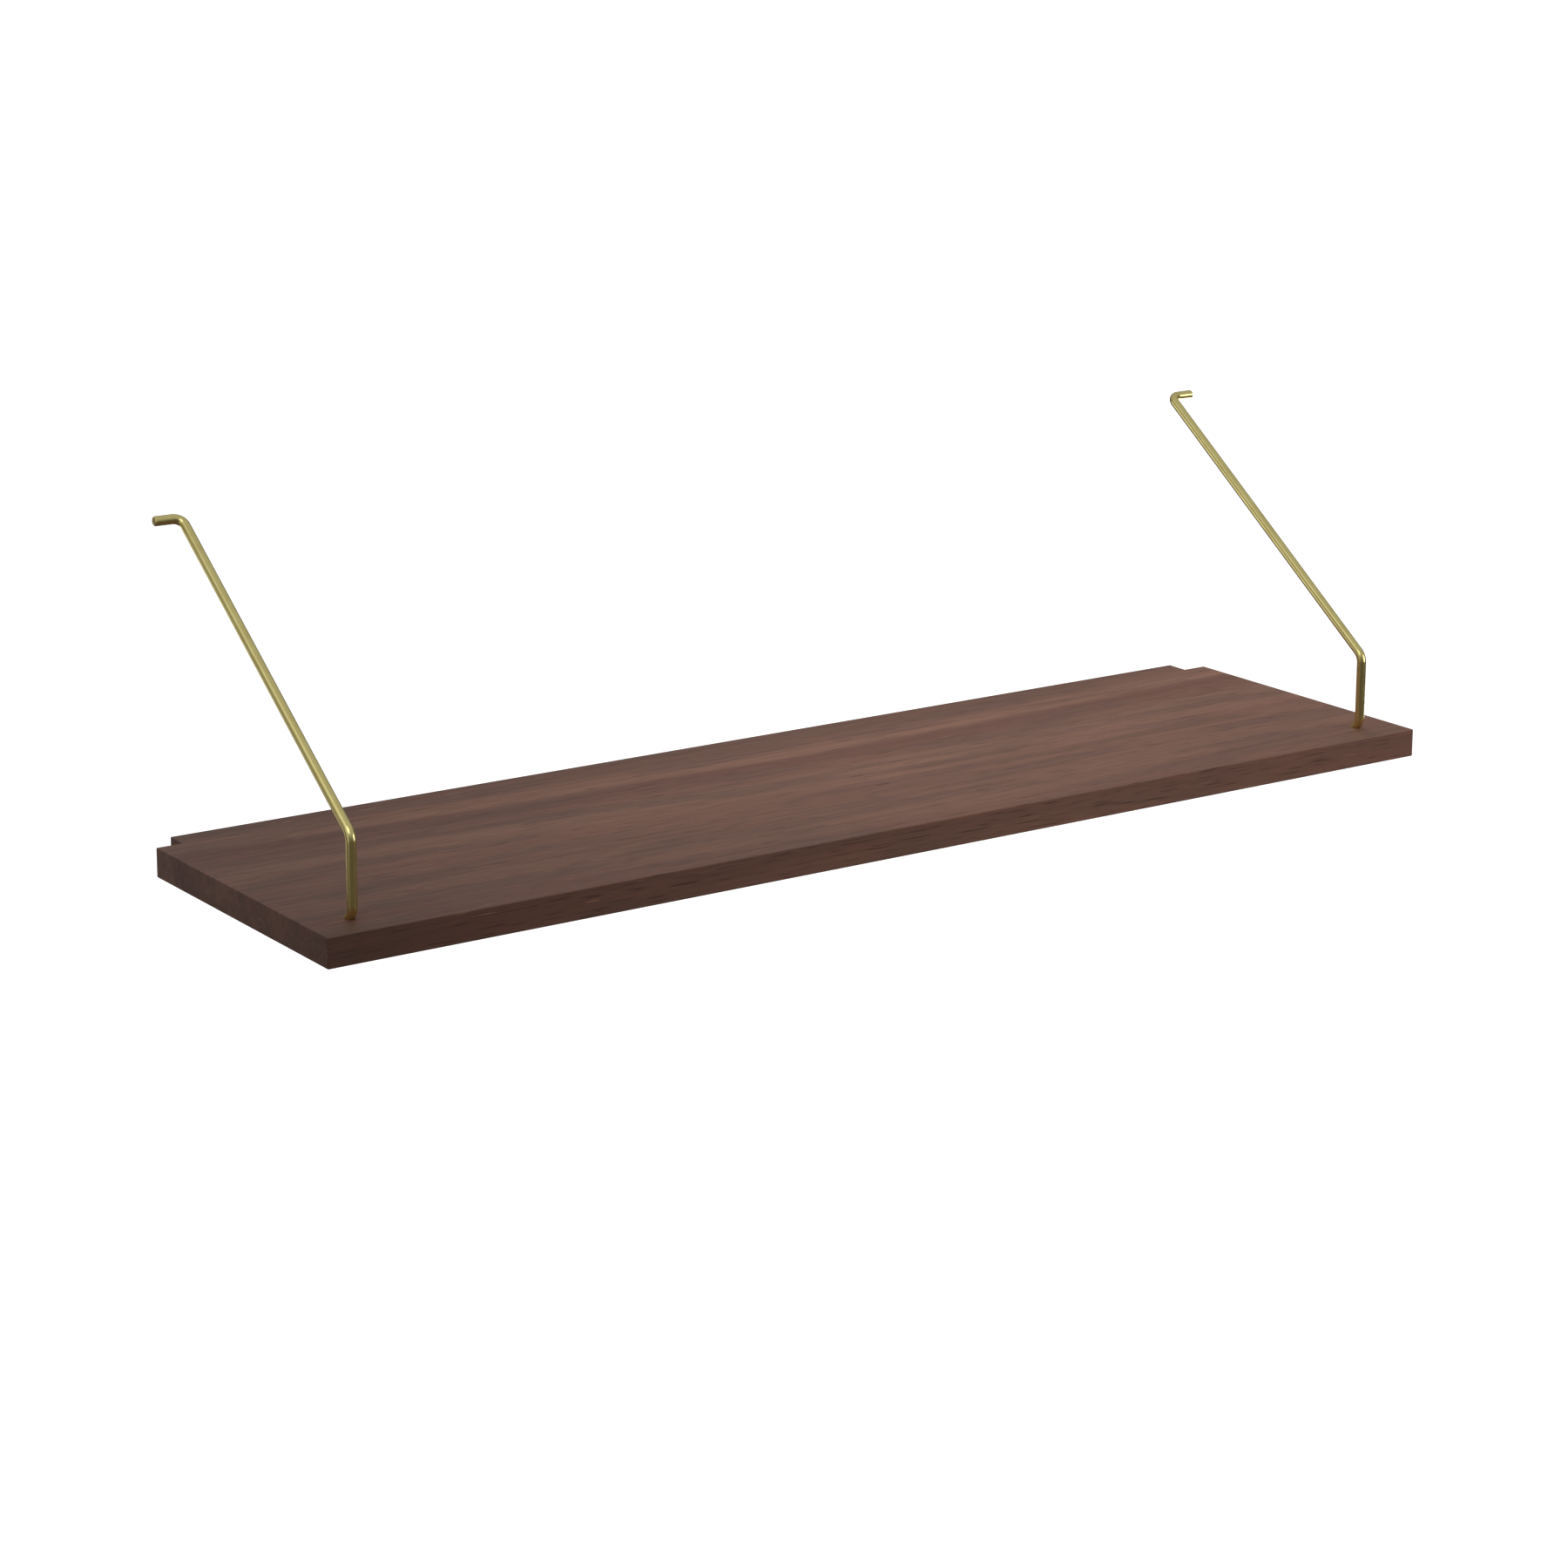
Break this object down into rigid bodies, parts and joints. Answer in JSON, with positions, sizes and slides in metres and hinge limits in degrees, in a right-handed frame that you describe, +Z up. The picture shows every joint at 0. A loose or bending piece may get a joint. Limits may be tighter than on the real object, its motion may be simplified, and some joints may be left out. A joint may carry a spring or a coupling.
{
  "type": "wall shelf with rod hangers",
  "caption": "Rail-hung wall shelf: a solid walnut board with notched rear corners, held by bent brass rods that hook into the rails and swivel in the board.",
  "frame": {"origin": "middle of the board's back face, at half the board's thickness", "axes": "+X along the board to its right end seen from the front, +Y towards the wall, +Z up"},
  "size_m": [0.8, 0.225, 0.212],
  "materials": {
    "board_wood": "satin oiled walnut",
    "hanger_brass": "polished",
    "stud_brass": "satin turned"
  },
  "bodies": {
    "board": {"shelf_board": "board_wood", "left_rear_stud": "stud_brass", "right_rear_stud": "stud_brass"},
    "left_rod": {"left_hanger": "hanger_brass"},
    "right_rod": {"right_hanger": "hanger_brass"}
  },
  "joints": [
    {"name": "left_hanger_swivel", "type": "hinge", "parent": "board", "child": "left_rod", "pos_m": [-0.3725, -0.19903, 0.009], "axis": [0, -0.7071, 0.7071], "range_deg": [-88, 88]},
    {"name": "right_hanger_swivel", "type": "hinge", "parent": "board", "child": "right_rod", "pos_m": [0.3725, -0.19903, 0.009], "axis": [0, -0.7071, 0.7071], "range_deg": [-88, 88]}
  ]
}
